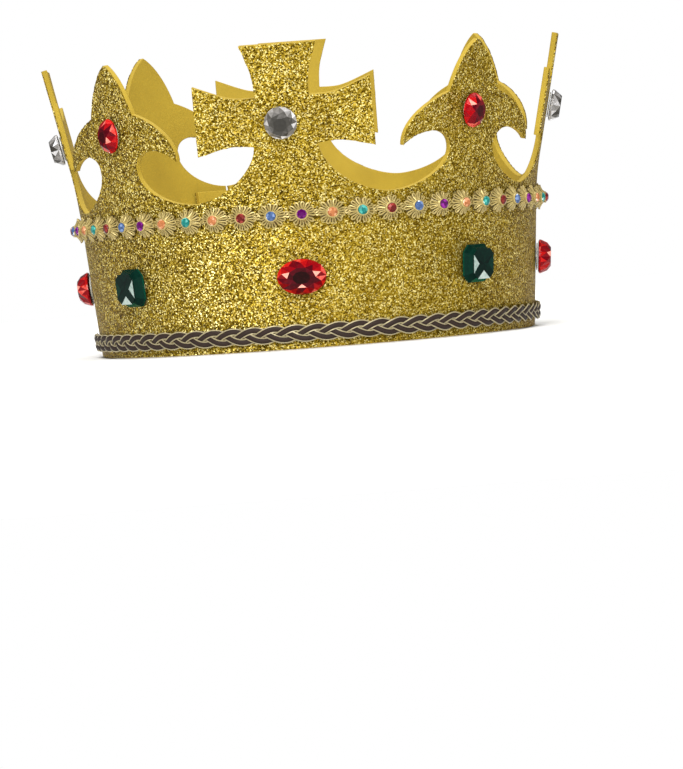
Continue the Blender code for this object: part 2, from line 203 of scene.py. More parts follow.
# The cut shape, as (distance from a point's centre line, height up the sheet)
outline = {
    "valley": 0.0552,
    "valleyPower": 1.75,
    "crossStem": (0.0117, 0.0746),
    "armLow": (0.0324, 0.0723),
    "armHigh": (0.0324, 0.0982),
    "crossNeck": (0.0098, 0.0927),
    "crossTop": (0.0139, 0.1120),
    "armUnder": (0.0200, 0.0756),
    "armOver": (0.0185, 0.0924),
    "topSide": (0.0101, 0.1010),
    "fleurStem": (0.0119, 0.0690),
    "lobeTip": (0.0346, 0.0712),
    "notch": (0.0136, 0.0900),
    "fleurTip": (0.0, 0.1091),
    "lobeUnder": ((0.0120, 0.0785), (0.0278, 0.0775)),
    "lobeOver": ((0.0357, 0.0790), (0.0262, 0.0865)),
    "leafSide": ((0.0115, 0.0965), (0.0072, 0.1050)),
    "curveSteps": 16,
    "rowShare": 0.87,  # height of a row of mesh points, of the space between them
    "highest": 0.125,
}


def curveBetween(start, one, two, end, withStart=False):
    found = [start] if withStart else []
    steps = outline["curveSteps"]
    for i in range(1, steps + 1):
        t = i / steps
        weights = ((1 - t) ** 3, 3 * t * (1 - t) ** 2, 3 * t * t * (1 - t), t ** 3)
        corners = (start, one, two, end)
        found.append(tuple(sum(w * p[k] for w, p in zip(weights, corners)) for k in (0, 1)))
    return found


def crossHalf():
    o = outline
    half = [o["crossStem"]]
    half += curveBetween(o["crossStem"], o["armUnder"], o["armUnder"], o["armLow"])
    half += curveBetween(o["armHigh"], o["armOver"], o["armOver"], o["crossNeck"], True)
    return half + curveBetween(o["crossNeck"], o["topSide"], o["topSide"], o["crossTop"])


def fleurHalf():
    o = outline
    half = [o["fleurStem"]]
    half += curveBetween(o["fleurStem"], *o["lobeUnder"], o["lobeTip"])
    half += curveBetween(o["lobeTip"], *o["lobeOver"], o["notch"])
    return half + curveBetween(o["notch"], *o["leafSide"], o["fleurTip"])


def valleySide(stem, bottom):
    found = []
    steps = 2 * outline["curveSteps"]
    for i in range(steps + 1):
        turn = pi / 2 * i / steps
        power = 2 / outline["valleyPower"]
        found.append((bottom[0] + (stem[0] - bottom[0]) * cos(turn) ** power,
                      stem[1] + (bottom[1] - stem[1]) * sin(turn) ** power))
    return found


def pointOutline(k, before, after):
    middle = pointMiddle(k)
    half = fleurHalf() if k % 2 else crossHalf()
    right = [(alongRim(middle, d, s), s) for d, s in half]
    left = [(alongRim(middle, -d, s), s) for d, s in half]
    if k % 2:
        right.pop()
    rise = valleySide(left[0], (before, outline["valley"]))[::-1]
    fall = valleySide(right[0], (after, outline["valley"]))
    return rise[:-1] + left + right[::-1][:-1] + fall[:-1]


def stripOutline(longest):
    order = [(pointCount // 2 + 1 + i) % pointCount for i in range(pointCount)]
    middles = [pointMiddle(k) for k in order]
    valleys = [stripStart] + [(a + b) / 2 for a, b in zip(middles, middles[1:])] + [seam]
    top = []
    for k, before, after in zip(order, valleys, valleys[1:]):
        top += pointOutline(k, before, after)
    lapEnd, lapTop, valley = seam + sheetSizes["lap"], sheetSizes["lapTop"], outline["valley"]
    loop = [(stripStart, 0.0), (lapEnd, 0.0), (lapEnd, lapTop), (seam, lapTop), (seam, valley)]
    loop += top[:0:-1] + [(stripStart, valley)]
    found = []
    for here, after in zip(loop, loop[1:] + loop[:1]):
        pieces = max(1, round(hypot(after[0] - here[0], after[1] - here[1]) / longest))
        for i in range(pieces):
            found.append((here[0] + (after[0] - here[0]) * i / pieces,
                          here[1] + (after[1] - here[1]) * i / pieces))
    return found


def fillOutline(loop, spacing, margin):
    near = KDTree(len(loop))
    for i, (x, s) in enumerate(loop):
        near.insert((x, s, 0), i)
    near.balance()
    inner = []
    rows = int(outline["highest"] / (spacing * outline["rowShare"]))
    for j in range(1, rows):
        s = j * spacing * outline["rowShare"]
        for i in range(int((rimLength + sheetSizes["lap"]) / spacing) + 1):
            x = stripStart + (i + 0.5 * (j % 2)) * spacing
            if near.find((x, s, 0))[2] > margin:
                inner.append((x, s))
    points = [Vector(p) for p in loop + inner]
    places, _, faces = delaunay_2d_cdt(points, [], [list(range(len(loop)))], 1, 1e-7)[:3]
    return places, faces


def newPiece(name, meshData, skins, smoothUnder=None):
    bmesh.ops.recalc_face_normals(meshData, faces=meshData.faces)
    mesh = bpy.data.meshes.new(name)
    meshData.to_mesh(mesh)
    meshData.free()
    for skin in skins:
        mesh.materials.append(skin)
    if smoothUnder is None:
        mesh.shade_flat()
    else:
        mesh.shade_smooth()
        mesh.set_sharp_from_angle(angle=radians(smoothUnder))
    piece = bpy.data.objects.new(name, mesh)
    bpy.context.scene.collection.objects.link(piece)
    return piece


def wrappedSheet(name, flat, inner, outer, skin):
    places, faces = flat
    meshData = bmesh.new()
    used = sorted({i for face in faces for i in face})
    back = {i: meshData.verts.new(wrapOn(places[i].x, places[i].y, inner)) for i in used}
    front = {i: meshData.verts.new(wrapOn(places[i].x, places[i].y, outer)) for i in used}
    border = {}
    for face in faces:
        meshData.faces.new([front[i] for i in face])
        meshData.faces.new([back[i] for i in reversed(face)])
        for a, b in zip(face, face[1:] + face[:1]):
            if (b, a) in border:
                del border[(b, a)]
            else:
                border[(a, b)] = True
    for a, b in border:
        meshData.faces.new([front[b], front[a], back[a], back[b]])
    return newPiece(name, meshData, [skin], 40)


# Materials
def newMaterial(name, roughness, metallic=0.0):
    made = bpy.data.materials.new(name)
    made.use_nodes = True
    shader = made.node_tree.nodes["Principled BSDF"]
    shader.inputs["Roughness"].default_value = roughness
    shader.inputs["Metallic"].default_value = metallic
    return made, made.node_tree, shader


def addNode(tree, kind, place, **settings):
    node = tree.nodes.new("ShaderNode" + kind)
    node.location = place
    for key, value in settings.items():
        setattr(node, key, value)
    return node


def addTexture(tree, kind, place, source, scale):
    node = addNode(tree, kind, place)
    node.inputs["Scale"].default_value = scale
    tree.links.new(source, node.inputs["Vector"])
    return node


def addRamp(tree, source, stops, place):
    node = addNode(tree, "ValToRGB", place)
    ramp = node.color_ramp
    ramp.elements[0].position, ramp.elements[0].color = stops[0][0], (*stops[0][1], 1)
    ramp.elements[1].position, ramp.elements[1].color = stops[-1][0], (*stops[-1][1], 1)
    for position, colour in stops[1:-1]:
        ramp.elements.new(position).color = (*colour, 1)
    tree.links.new(source, node.inputs["Fac"])
    return node


def addColours(tree, shader, source, stops, place):
    ramp = addRamp(tree, source, stops, place)
    tree.links.new(ramp.outputs["Color"], shader.inputs["Base Color"])


def addBump(tree, shader, height, strength, distance, place):
    node = addNode(tree, "Bump", place)
    node.inputs["Strength"].default_value = strength
    node.inputs["Distance"].default_value = distance
    tree.links.new(height, node.inputs["Height"])
    tree.links.new(node.outputs["Normal"], shader.inputs["Normal"])


# the flakes' colours run from near black to pale yellow: painted sparkle, the bright flakes painted
# glints and the dark ones painted shade, over the real tilt of each flake
glitterLook = {
    "flake": 0.00042,  # size of one flake
    "tilt": 1.0,  # how unevenly the flakes lie
    "metallic": 0.55,
    "roughness": 0.42,
    "shine": 0.15,
    "edgeTint": (0.20, 0.10, 0.02, 1),
    "colours": ((0.0, (0.050, 0.027, 0.001)), (0.30, (0.140, 0.088, 0.005)),
                (0.55, (0.29, 0.192, 0.012)), (0.80, (0.52, 0.38, 0.055)), (1.0, (1.0, 0.88, 0.38))),
    "patch": 90,  # scale of the soft uneven patches
    "patchTones": ((0.35, (0.82, 0.80, 0.76)), (0.65, (1.0, 1.0, 1.0))),
}


def glitterMaterial():
    look = glitterLook
    made, tree, shader = newMaterial("goldGlitter", look["roughness"], look["metallic"])
    shader.inputs["Specular Tint"].default_value = look["edgeTint"]
    shader.inputs["Specular IOR Level"].default_value = look["shine"]
    where = addNode(tree, "TexCoord", (-1300, 0))
    flakes = addTexture(tree, "TexVoronoi", (-1100, 0), where.outputs["Object"], 1 / look["flake"])
    parts = addNode(tree, "SeparateColor", (-900, 120))
    tree.links.new(flakes.outputs["Color"], parts.inputs["Color"])
    # each flake's colour at random: a painted glint, painted shade or a tone between
    colours = addRamp(tree, parts.outputs["Red"], look["colours"], (-700, 200))
    patches = addTexture(tree, "TexNoise", (-1100, 320), where.outputs["Object"], look["patch"])
    tone = addRamp(tree, patches.outputs["Fac"], look["patchTones"], (-900, 380))
    mixed = addNode(tree, "Mix", (-420, 260), data_type="RGBA", blend_type="MULTIPLY")
    mixed.inputs["Factor"].default_value = 1.0
    tree.links.new(colours.outputs["Color"], mixed.inputs["A"])
    tree.links.new(tone.outputs["Color"], mixed.inputs["B"])
    tree.links.new(mixed.outputs["Result"], shader.inputs["Base Color"])
    # each flake lies its own way
    middle = addNode(tree, "VectorMath", (-900, -120), operation="SUBTRACT")
    middle.inputs[1].default_value = (0.5, 0.5, 0.5)
    tree.links.new(flakes.outputs["Color"], middle.inputs[0])
    tilted = addNode(tree, "VectorMath", (-720, -120), operation="SCALE")
    tilted.inputs["Scale"].default_value = look["tilt"]
    tree.links.new(middle.outputs[0], tilted.inputs[0])
    facing = addNode(tree, "NewGeometry", (-720, -320))
    summed = addNode(tree, "VectorMath", (-540, -160), operation="ADD")
    tree.links.new(tilted.outputs[0], summed.inputs[0])
    tree.links.new(facing.outputs["Normal"], summed.inputs[1])
    normal = addNode(tree, "VectorMath", (-360, -160), operation="NORMALIZE")
    tree.links.new(summed.outputs[0], normal.inputs[0])
    tree.links.new(normal.outputs[0], shader.inputs["Normal"])
    return made


foamLook = {
    "light": (0.40, 0.275, 0.017),
    "dark": (0.32, 0.215, 0.011),
    "patch": 45,  # scale of the soft uneven patches
    "pores": 2600,
    "poreStrength": 0.35,
    "poreDepth": 0.00012,
    "roughness": 0.82,
}


def foamMaterial():
    look = foamLook
    made, tree, shader = newMaterial("yellowFoam", look["roughness"])
    where = addNode(tree, "TexCoord", (-1100, 0))
    patches = addTexture(tree, "TexNoise", (-900, 150), where.outputs["Object"], look["patch"])
    patches.inputs["Detail"].default_value = 4
    stops = ((0.3, look["dark"]), (0.7, look["light"]))
    addColours(tree, shader, patches.outputs["Fac"], stops, (-600, 150))
    pores = addTexture(tree, "TexVoronoi", (-900, -150), where.outputs["Object"], look["pores"])
    depth = pores.outputs["Distance"]
    addBump(tree, shader, depth, look["poreStrength"], look["poreDepth"], (-300, -150))
    return made


# each ramp runs from painted shade in the grooves between the twisted strands to a painted highlight
# on their crests
threadLook = {
    "gold": ((0.0, (0.10, 0.070, 0.012)), (0.45, (0.34, 0.255, 0.075)), (1.0, (0.86, 0.74, 0.36))),
    # the thread under the petals, darker: painted shade that the petals would cast
    "under": ((0.0, (0.045, 0.030, 0.006)), (0.6, (0.17, 0.12, 0.028)), (1.0, (0.42, 0.33, 0.12))),
    "edging": ((0.0, (0.050, 0.038, 0.018)), (0.42, (0.32, 0.26, 0.13)), (1.0, (0.98, 0.92, 0.66))),
    "twist": 0.0007,  # length of one turn of the thread
    "twistStrength": 0.7,
    "twistDepth": 0.0001,
    "metallic": 0.35,
    "roughness": 0.38,
}


def threadMaterial(name, stops):
    # UV runs along the thread in metres and once round it, so the strands can twist round it
    look = threadLook
    made, tree, shader = newMaterial(name, look["roughness"], look["metallic"])
    where = addNode(tree, "UVMap", (-1300, 0), uv_map="UVMap")
    axes = addNode(tree, "SeparateXYZ", (-1120, 0))
    tree.links.new(where.outputs["UV"], axes.inputs["Vector"])
    turns = addNode(tree, "Math", (-940, 80), operation="MULTIPLY")
    turns.inputs[1].default_value = 1 / look["twist"]
    tree.links.new(axes.outputs["X"], turns.inputs[0])
    summed = addNode(tree, "Math", (-760, 20), operation="ADD")
    tree.links.new(turns.outputs[0], summed.inputs[0])
    tree.links.new(axes.outputs["Y"], summed.inputs[1])
    angle = addNode(tree, "Math", (-600, 20), operation="MULTIPLY")
    angle.inputs[1].default_value = 2 * pi
    tree.links.new(summed.outputs[0], angle.inputs[0])
    wave = addNode(tree, "Math", (-440, 20), operation="SINE")
    tree.links.new(angle.outputs[0], wave.inputs[0])
    height = addNode(tree, "MapRange", (-280, 20))
    height.inputs["From Min"].default_value = -1
    tree.links.new(wave.outputs[0], height.inputs["Value"])
    # the twist picks the colour as well as the bump: painted shade in the grooves, painted highlight
    # on the crests
    addColours(tree, shader, height.outputs["Result"], stops, (-280, 320))
    depth = height.outputs["Result"]
    addBump(tree, shader, depth, look["twistStrength"], look["twistDepth"], (-120, -220))
    return made


cordLook = {
    "shine": 0.12,
    "dark": (0.010, 0.006, 0.005),
    "light": (0.048, 0.031, 0.024),
    "fibres": 14,  # fibres side by side round the cord
    "fibreRuns": 900,  # and how often they change in a metre
    "fibreStrength": 0.6,
    "fibreDepth": 0.00015,
    "roughness": 0.55,
}


def cordMaterial():
    look = cordLook
    made, tree, shader = newMaterial("darkBraid", look["roughness"])
    shader.inputs["Specular IOR Level"].default_value = look["shine"]
    where = addNode(tree, "UVMap", (-1300, 0), uv_map="UVMap")
    stretch = addNode(tree, "Mapping", (-1120, 0))
    stretch.inputs["Scale"].default_value = (look["fibreRuns"], look["fibres"], 1)
    tree.links.new(where.outputs["UV"], stretch.inputs["Vector"])
    fibres = addTexture(tree, "TexNoise", (-900, 0), stretch.outputs["Vector"], 1.0)
    fibres.inputs["Detail"].default_value = 3
    stops = ((0.3, look["dark"]), (0.72, look["light"]))
    addColours(tree, shader, fibres.outputs["Fac"], stops, (-600, 150))
    depth = fibres.outputs["Fac"]
    addBump(tree, shader, depth, look["fibreStrength"], look["fibreDepth"], (-300, -150))
    return made


stoneFinish = {
    "roughness": 0.08,
    "cloudScale": 900,
    "clouding": 0.09,  # how far the tone wanders within a facet
}


def stoneMaterial(name, stops, shine):
    # each facet has a painted tone of its own: painted reflection that stands for what the foil
    # behind it throws back
    finish = stoneFinish
    made, tree, shader = newMaterial(name, finish["roughness"])
    shader.inputs["Specular IOR Level"].default_value = shine
    # the facet's painted tone: painted reflection and painted glints
    tone = addNode(tree, "Attribute", (-900, 0), attribute_name="facetPaintedLight",
                   attribute_type="GEOMETRY")
    where = addNode(tree, "TexCoord", (-900, -250))
    clouds = addTexture(tree, "TexNoise", (-700, -250), where.outputs["Object"], finish["cloudScale"])
    spread = addNode(tree, "MapRange", (-500, -250))
    spread.inputs["To Min"].default_value = -finish["clouding"]
    spread.inputs["To Max"].default_value = finish["clouding"]
    tree.links.new(clouds.outputs["Fac"], spread.inputs["Value"])
    summed = addNode(tree, "Math", (-500, 0), operation="ADD")
    tree.links.new(tone.outputs["Fac"], summed.inputs[0])
    tree.links.new(spread.outputs["Result"], summed.inputs[1])
    addColours(tree, shader, summed.outputs[0], stops, (-300, 0))
    return made


glueLook = {
    "colours": ((0.3, (0.72, 0.68, 0.52)), (0.7, (0.88, 0.86, 0.76))),
    "cloudScale": 400,
    "clearness": 0.6,
    "unevenness": 0.3,
    "roughness": 0.22,
}


def glueMaterial():
    look = glueLook
    made, tree, shader = newMaterial("clearGlue", look["roughness"])
    where = addNode(tree, "TexCoord", (-900, 0))
    cloud = addTexture(tree, "TexNoise", (-700, 0), where.outputs["Object"], look["cloudScale"])
    addColours(tree, shader, cloud.outputs["Fac"], look["colours"], (-450, 0))
    shader.inputs["Transmission Weight"].default_value = look["clearness"]
    addBump(tree, shader, cloud.outputs["Fac"], look["unevenness"], 0.0001, (-250, -250))
    return made


skins = {
    "foam": foamMaterial(),
    "glitter": glitterMaterial(),
    "goldThread": threadMaterial("goldThread", threadLook["gold"]),
    "shadedUnderThread": threadMaterial("shadedUnderThread", threadLook["under"]),
    "edging": threadMaterial("braidEdging", threadLook["edging"]),
    "cord": cordMaterial(),
    "glue": glueMaterial(),
}
print("Materials ready")

# The foam strip and its glitter face
strip = {
    "longest": 0.0025,  # edge length of the foam
    "spacing": 0.0028,  # between the mesh points inside the outline
    "margin": 0.0016,  # those points keep this far from the outline
    "filled": 0.9,  # share of the gap under the glitter that the foam fills
    "soft": 0.00025,  # rounding of the cut edges
    "glitterLongest": 0.0011,
    "glitterMargin": 0.0013,
    "ragged": 0.00022,  # how far the flakes stray from the glitter's cut edge
    "raggedOut": -0.35,  # they mostly stray inwards, over the foam
    "seed": 7,
}
foamFlat = fillOutline(stripOutline(strip["longest"]), strip["spacing"], strip["margin"])
foamFace = strip["filled"] * sheetSizes["gap"]
foamStrip = wrappedSheet("foamStrip", foamFlat, -sheetSizes["foam"], foamFace, skins["foam"])
rounded = foamStrip.modifiers.new("softEdge", "BEVEL")
rounded.width = strip["soft"]
rounded.segments = 2
rounded.limit_method = "ANGLE"
rounded.angle_limit = radians(60)
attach(foamStrip, "root")
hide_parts("foam_shell")
print("Foam strip made")


def raggedOutline(loop, reach, seed):
    draw = random.Random(seed)
    found = []
    for i, (x, s) in enumerate(loop):
        before, after = loop[i - 1], loop[(i + 1) % len(loop)]
        dx, ds = after[0] - before[0], after[1] - before[1]
        length = hypot(dx, ds) or 1.0
        shift = draw.uniform(strip["raggedOut"], 1.0) * reach
        found.append((x - ds / length * shift, max(0.0002, s + dx / length * shift)))
    return found


glitterLoop = raggedOutline(stripOutline(strip["glitterLongest"]), strip["ragged"], strip["seed"])
glitterFlat = fillOutline(glitterLoop, strip["spacing"], strip["glitterMargin"])
glitterFace = wrappedSheet("glitterFace", glitterFlat, sheetSizes["gap"], faceOut, skins["glitter"])
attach(glitterFace, "root")
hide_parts("glitter_facing")
print("Glitter face made")


def joinRings(meshData, places, uvAt, skinIndex=0):
    # faces between each ring of places and the next, and over both ends; uvAt takes (ring, side)
    uv = meshData.loops.layers.uv.verify()
    rings = [[meshData.verts.new(place) for place in ring] for ring in places]
    sides = len(rings[0])
    for i, (one, two) in enumerate(zip(rings, rings[1:])):
        for j in range(sides):
            k = (j + 1) % sides
            face = meshData.faces.new([one[j], one[k], two[k], two[j]])
            face.material_index = skinIndex
            corners = ((i, j), (i, j + 1), (i + 1, j + 1), (i + 1, j))
            for loop, corner in zip(face.loops, corners):
                loop[uv].uv = uvAt(*corner)
    meshData.faces.new(rings[0][::-1])
    meshData.faces.new(rings[-1])


def sweep(meshData, path, half, sides, thin=1.0):
    # threads are swept in the flat and wrapped round the ring point by point
    travelled = [0.0]
    for a, b in zip(path, path[1:]):
        travelled.append(travelled[-1] + (b - a).length)
    rings = []
    for i, here in enumerate(path):
        tangent = (path[min(i + 1, len(path) - 1)] - path[max(i - 1, 0)]).normalized()
        side = tangent.cross(Vector((0, 0, 1)))
        side = side.normalized() if side.length > 1e-6 else Vector((1, 0, 0))
        up = side.cross(tangent)
        turns = [2 * pi * j / sides for j in range(sides)]
        flat = [here + side * (half * cos(turn)) + up * (half * thin * sin(turn)) for turn in turns]
        rings.append([wrapOn(place.x, max(0.0003, place.y), place.z) for place in flat])
    joinRings(meshData, rings, lambda i, j: (travelled[i], j / sides))


braid = {
    "foot": 0.0025,  # up the sheet to the braid's lower edge
    "height": 0.0068,
    "turn": 0.0228,  # length in which a cord comes back to its place
    "cord": 0.00098,  # half the width of a cord
    "flat": 0.55,  # its thickness, of its width
    "edge": 0.00024,  # radius of the pale thread on each side of a cord
    "edgeLift": 0.00012,
    "out": 0.00095,  # from the glitter to the middle of the plait
    "weave": 0.00045,  # how far the cords pass over and under each other
    "steps": 20,  # in each turn
    "start": 0.0012,  # from the seam to each end of the plait
    "finish": 0.0027,
}


def braidPath(phase, offset, lift):
    plaitLength = rimLength - braid["start"] - braid["finish"]
    steps = int(plaitLength / braid["turn"] * braid["steps"])
    middle = braid["foot"] + braid["height"] / 2
    reach = braid["height"] / 2 - braid["cord"] - 1.4 * braid["edge"]
    path = []
    for i in range(steps + 1):
        x = stripStart + braid["start"] + plaitLength * i / steps
        turn = 2 * pi * x / braid["turn"] + phase
        slope = reach * 2 * pi / braid["turn"] * cos(turn)
        steep = hypot(1, slope)
        s = middle + reach * sin(turn) + offset / steep
        out = trimBack + braid["out"] + braid["weave"] * sin(2 * turn) + lift
        path.append(Vector((x - slope / steep * offset, s, out)))
    return path


cordData = bmesh.new()
edgeData = bmesh.new()
for strand in range(3):
    phase = 2 * pi * strand / 3
    sweep(cordData, braidPath(phase, 0.0, 0.0), braid["cord"], 10, braid["flat"])
    for side in (-1, 1):
        offset = side * (braid["cord"] + 0.4 * braid["edge"])
        sweep(edgeData, braidPath(phase, offset, braid["edgeLift"]), braid["edge"], 6)
braidCords = newPiece("braidCords", cordData, [skins["cord"]], 60)
braidEdging = newPiece("braidEdging", edgeData, [skins["edging"]], 60)
for piece, slotName in ((braidCords, "dark_braid"), (braidEdging, "gold_thread")):
    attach(piece, "root")
    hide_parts("braid_trim")
print("Braid plaited")

# The flower ribbon
flowers = {
    "count": 54,
    "first": -23,  # counted from the flower at the front
    "pitch": 1 / 55.5,  # of the rim's length
    "front": 0.006,
    "height": 0.0492,
    "petals": 12,
    "inner": 0.0017,
    "outer": 0.0046,
    "spread": 0.22,  # half the angle that a petal's loop takes
    "petalReach": (0.93, 1.03),  # uneven lengths and angles
    "petalStray": 0.05,
    "petalBack": 0.00035,
    "thread": 0.00031,
    "puff": 0.0006,
    "climb": 0.0022,  # how far a petal climbs to the cup
    "body": ((0.86, 0.0), (0.84, 0.0005), (0.62, 0.0009), (0.44, 0.0021), (0.40, 0.0028)),
    "bodySides": 26,
    "cupRadius": 0.00190,
    "cupFoot": 0.0022,  # out from the ribbon's back
    "cupTop": 0.0034,
    "cupTurns": 3,
    "cupThread": 0.00036,
    "stone": 0.0019,
    "stoneRise": 0.0012,
    "stoneSink": 0.0002,
    "neck": 0.0013,  # half the width of the neck between two flowers
    "neckInset": 0.0034,
    "neckThread": 0.00042,
    "neckWave": 0.00022,
    "colours": ("Purple", "Peach", "Teal", "Red", "Blue"),
    "seed": 11,
}


def flowerMiddle(i):
    return rimLength * (flowers["front"] + (flowers["first"] + i) * flowers["pitch"])


def flowerPlace(middle, radius, turn, out):
    return Vector((middle + radius * cos(turn), flowers["height"] + radius * sin(turn), out))


def petalPath(middle, angle, reach, base):
    path = []
    for i in range(13):
        t = i / 12
        swell = sin(pi * t)
        radius = flowers["inner"] + (reach - flowers["inner"]) * swell ** 0.75
        turn = angle + flowers["spread"] * cos(pi * t) * (0.35 + 0.65 * swell)
        inwards = (flowers["outer"] - radius) / (flowers["outer"] - flowers["inner"])
        out = base + flowers["puff"] * swell + flowers["climb"] * max(0.0, inwards) ** 1.3
        path.append(flowerPlace(middle, radius, turn, out))
    return path


def flowerBody(meshData, middle):
    # the wound thread under the petals, in the darker thread: painted shade under the petals
    sides = flowers["bodySides"]
    turns = [2 * pi * j / sides for j in range(sides)]
    rings = []
    for share, out in flowers["body"]:
        radius = flowers["outer"] * share
        rings.append([wrapOn(middle + radius * cos(turn), flowers["height"] + radius * sin(turn),
                             trimBack + out) for turn in turns])
    joinRings(meshData, rings, lambda level, j: (j * 0.0009, level * 0.4), 1)


def cupPath(middle):
    # the thread wound under a stone
    steps = 14
    path = []
    for j in range(flowers["cupTurns"] * steps + 1):
        turn = 2 * pi * j / steps
        level = j / (flowers["cupTurns"] * steps)
        radius = flowers["cupRadius"] * (0.92 + 0.10 * level)
        out = trimBack + flowers["cupFoot"] + (flowers["cupTop"] - flowers["cupFoot"]) * level
        path.append(flowerPlace(middle, radius, turn, out))
    return path


def neckPath(middle, after, row):
    inset = flowers["neckInset"]
    path = []
    for j in range(9):
        t = j / 8
        wave = flowers["neckWave"] * sin(4 * pi * t + row * 2.1)
        path.append(Vector((middle + inset + (after - middle - 2 * inset) * t,
                            flowers["height"] + row * 0.62 * flowers["neck"] + wave,
                            trimBack + 0.0005 + 0.00015 * cos(4 * pi * t + row))))
    return path


draw = random.Random(flowers["seed"])
flowerData = bmesh.new()
cupData = bmesh.new()
for i in range(flowers["count"]):
    middle = flowerMiddle(i)
    first = draw.uniform(0, 2 * pi / flowers["petals"])
    flowerBody(flowerData, middle)
    for petal in range(flowers["petals"]):
        stray = draw.uniform(-flowers["petalStray"], flowers["petalStray"])
        angle = first + 2 * pi * petal / flowers["petals"] + stray
        reach = flowers["outer"] * draw.uniform(*flowers["petalReach"])
        path = petalPath(middle, angle, reach, trimBack + flowers["petalBack"])
        sweep(flowerData, path, flowers["thread"], 5)
    sweep(cupData, cupPath(middle), flowers["cupThread"], 6)
    if i + 1 < flowers["count"]:
        for row in (-1, 0, 1):
            path = neckPath(middle, flowerMiddle(i + 1), row)
            sweep(flowerData, path, flowers["neckThread"], 5)
flowerRibbon = newPiece("flowerRibbon", flowerData, [skins["goldThread"], skins["shadedUnderThread"]], 60)
stoneCups = newPiece("stoneCups", cupData, [skins["goldThread"]], 60)
for piece in (flowerRibbon, stoneCups):
    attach(piece, "root")
    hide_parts("flower_trim")
print("Flower ribbon made")

ribbonShine = 0.10
# Colours for the painted facet tones; the top of each ramp is the pale colour of a painted glint
ribbonStoneLooks = {
    "Purple": ((0.0, (0.012, 0.001, 0.014)), (0.5, (0.080, 0.002, 0.085)), (0.9, (0.28, 0.03, 0.30)),
               (1.0, (0.72, 0.42, 0.72))),
    "Peach": ((0.0, (0.16, 0.045, 0.012)), (0.5, (0.42, 0.15, 0.055)), (0.9, (0.68, 0.36, 0.19)),
              (1.0, (0.95, 0.78, 0.62))),
    "Teal": ((0.0, (0.003, 0.045, 0.038)), (0.5, (0.010, 0.17, 0.15)), (0.9, (0.09, 0.42, 0.36)),
             (1.0, (0.62, 0.88, 0.82))),
    "Red": ((0.0, (0.028, 0.003, 0.002)), (0.5, (0.115, 0.010, 0.008)), (0.9, (0.34, 0.05, 0.04)),
            (1.0, (0.75, 0.45, 0.40))),
    "Blue": ((0.0, (0.015, 0.032, 0.075)), (0.5, (0.050, 0.095, 0.22)), (0.9, (0.20, 0.28, 0.48)),
             (1.0, (0.80, 0.88, 0.98))),
}


def stoneColour(k):
    # the order repeats, but for one peach stone near the front that is out of turn
    names = flowers["colours"]
    outOfTurn = -3
    if k == outOfTurn:
        return "Peach"
    return names[k % 5] if k > outOfTurn else names[(k + 6) % 5]


def smallStone(meshData, paintedLight, seat):
    # eight sides, and the upper two rings turned half a step against the lower two
    radius, rise = flowers["stone"], flowers["stoneRise"]
    levels = ((0.94, 0.0), (1.0, 0.12), (0.86, 0.62), (0.46, 1.0))
    rings = []
    for level, (share, up) in enumerate(levels):
        shift = pi / 8 * (level > 1)
        places = [Vector((radius * share * cos(pi / 4 * j + shift),
                          radius * share * sin(pi / 4 * j + shift), rise * up)) for j in range(8)]
        rings.append([meshData.verts.new(seat @ place) for place in places])
    # each facet gets a random painted tone, painted reflection of the foil behind
    made = [(meshData.faces.new(rings[0][::-1]), 0.2)]
    for level in range(3):
        one, two = rings[level], rings[level + 1]
        for j in range(8):
            k = (j + 1) % 8
            if level == 1:  # between the turned rings the row is triangles
                made.append((meshData.faces.new([one[j], one[k], two[j]]), draw.uniform(0.2, 0.7)))
                made.append((meshData.faces.new([one[k], two[k], two[j]]), draw.uniform(0.3, 0.9)))
            else:
                face = meshData.faces.new([one[j], one[k], two[k], two[j]])
                made.append((face, draw.uniform(0.25, 0.85)))
    made.append((meshData.faces.new(rings[3]), 0.42))
    for face, tone in made:
        face[paintedLight] = tone
    bright = draw.choice(made[10:24])[0]  # one facet of the upper rows gets a painted glint
    bright[paintedLight] = 1.0


for colourName in flowers["colours"]:
    stoneData = bmesh.new()
    paintedLight = stoneData.faces.layers.float.new("facetPaintedLight")
    for i in range(flowers["count"]):
        if stoneColour(flowers["first"] + i) == colourName:
            out = trimBack + flowers["cupTop"] - flowers["stoneSink"]
            seat = seatAt(flowerMiddle(i), flowers["height"], out)
            smallStone(stoneData, paintedLight, seat @ Matrix.Rotation(draw.uniform(0, pi / 4), 4, "Z"))
    skin = stoneMaterial("ribbonStone" + colourName, ribbonStoneLooks[colourName], ribbonShine)
    ribbonStones = newPiece("ribbonStones" + colourName, stoneData, [skin])
    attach(ribbonStones, "root")
    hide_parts("flower_trim")
    slotName = {"Red": "red_stone", "Teal": "green_stone"}.get(colourName, "clear_stone")
print("Ribbon stones set")

# The sixteen large stones
stones = {
    # width, length, height, table's share of the width
    "crystal": (0.0120, 0.0120, 0.0040, 0.68),
    "ruby": (0.0102, 0.0128, 0.0040, 0.56),
    "red_oval": (0.0180, 0.0130, 0.0048, 0.58),
    "emerald": (0.0140, 0.0140, 0.0045, 0.80),
    "pad": 0.0004,  # glue under each stone
    "girdle": 0.0007,
    "corner": 0.19,  # cut corner of a green stone, of its width
    "bandHeight": 0.0264,
    "crossHeight": 0.0834,
    "fleurHeight": 0.0830,
    # for each point: the upper stone's shift along and up the sheet, the lower stone's shift along
    "shifts": ((-0.0011, 0.0, 0.0018), (-0.0024, 0.0, 0.0005), (0.0, 0.0015, 0.0),
               (0.0, 0.0, -0.0006), (0.0006, 0.0, 0.0005), (0.0, -0.0008, 0.0),
               (0.0, -0.0018, 0.0006), (0.0003, 0.0, 0.0016)),
    "upperSeed": 30,
    "lowerSeed": 50,
}
